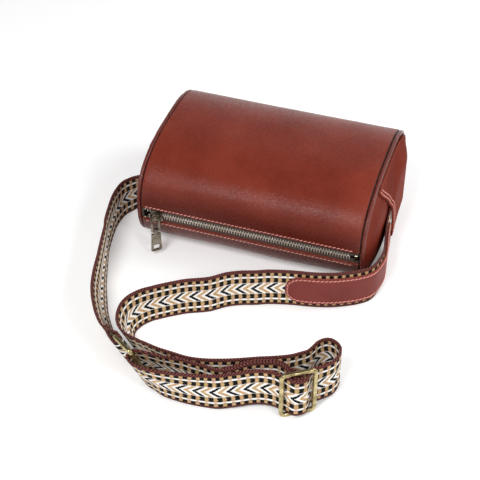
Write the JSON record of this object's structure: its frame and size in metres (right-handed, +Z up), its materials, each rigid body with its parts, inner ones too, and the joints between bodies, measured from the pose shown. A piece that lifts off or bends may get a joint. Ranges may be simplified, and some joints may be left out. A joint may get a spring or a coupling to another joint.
{
  "type": "pillow_bag",
  "caption": "Small leather pillow bag with a metal zip, piped ends, strap pockets and a patterned webbing shoulder strap with ring and tri-glide, lying on its back panel",
  "frame": {"origin": "centre of the flat underside of the bag's body, which rests on the table", "axes": "+X along the bag, from the short strap's end to the long strap's end; -Y towards the zip and the viewer; +Z up"},
  "size_m": [0.2374, 0.3055, 0.087],
  "materials": {
    "wrap_leather": "soft smooth leather with a low sheen",
    "panel_leather": "soft smooth leather with a low sheen",
    "pocket_leather": "soft smooth leather with a low sheen",
    "piping_leather": "tightly rolled leather",
    "tab_leather": "flat cut leather",
    "backing_felt": "pressed felt",
    "lining_cotton": "plain weave",
    "zip_tape": "herringbone tape",
    "zip_metal": "antiqued",
    "slider_metal": "antiqued",
    "pull_metal": "antiqued",
    "strap_webbing": "jacquard woven webbing",
    "buckle_brass": "antiqued"
  },
  "bodies": {
    "bag": {"body_wrap": "wrap_leather", "wrap_backing": "backing_felt", "lining_wrap": "lining_cotton", "lining_end_left": "lining_cotton", "lining_end_right": "lining_cotton", "inner_slip_pocket": "lining_cotton", "end_panel_left": "panel_leather", "end_panel_right": "panel_leather", "end_stiffener_left": "backing_felt", "end_stiffener_right": "backing_felt", "piping_left": "piping_leather", "piping_right": "piping_leather", "strap_pocket_left": "pocket_leather", "strap_pocket_right": "pocket_leather", "zip_tape_upper": "zip_tape", "zip_tape_lower": "zip_tape", "zip_chain_upper": "zip_metal", "zip_chain_lower": "zip_metal", "zip_top_stop_upper": "zip_metal", "zip_top_stop_lower": "zip_metal", "zip_bottom_stop": "zip_metal", "short_strap": "strap_webbing", "long_strap": "strap_webbing", "strap_tab": "tab_leather"},
    "zip_slider": {"slider_body": "slider_metal", "slider_crown": "slider_metal"},
    "link": {"pull_link": "pull_metal"},
    "pull": {"pull_tab": "pull_metal"},
    "ring": {"strap_ring": "buckle_brass"},
    "triglide": {"triglide_frame": "buckle_brass"}
  },
  "joints": [
    {"name": "zip_travel", "type": "slide", "parent": "bag", "child": "zip_slider", "axis": [1, 0, 0], "range_m": [-0.004, 0.1615], "deforming": ["zip_chain_upper", "zip_chain_lower"]},
    {"name": "pull_link_swing", "type": "hinge", "parent": "zip_slider", "child": "link", "pos_m": [-0.079, -0.0765, 0.0395], "axis": [-1, 0, 0], "range_deg": [-5, 150]},
    {"name": "pull_tab_swing", "type": "hinge", "parent": "link", "child": "pull", "pos_m": [-0.079, -0.0765, 0.027], "axis": [-0.766, -0.6428, 0], "range_deg": [-30, 60]},
    {"name": "ring_swing", "type": "hinge", "parent": "bag", "child": "ring", "pos_m": [-0.0558, -0.2046, 0.022], "axis": [-0.2084, -0.3113, 0.9272], "range_deg": [-4, 4]},
    {"name": "triglide_rock", "type": "hinge", "parent": "bag", "child": "triglide", "pos_m": [0.082, -0.2068, 0.0231], "axis": [0, 0, 1], "range_deg": [-5, 5]}
  ]
}
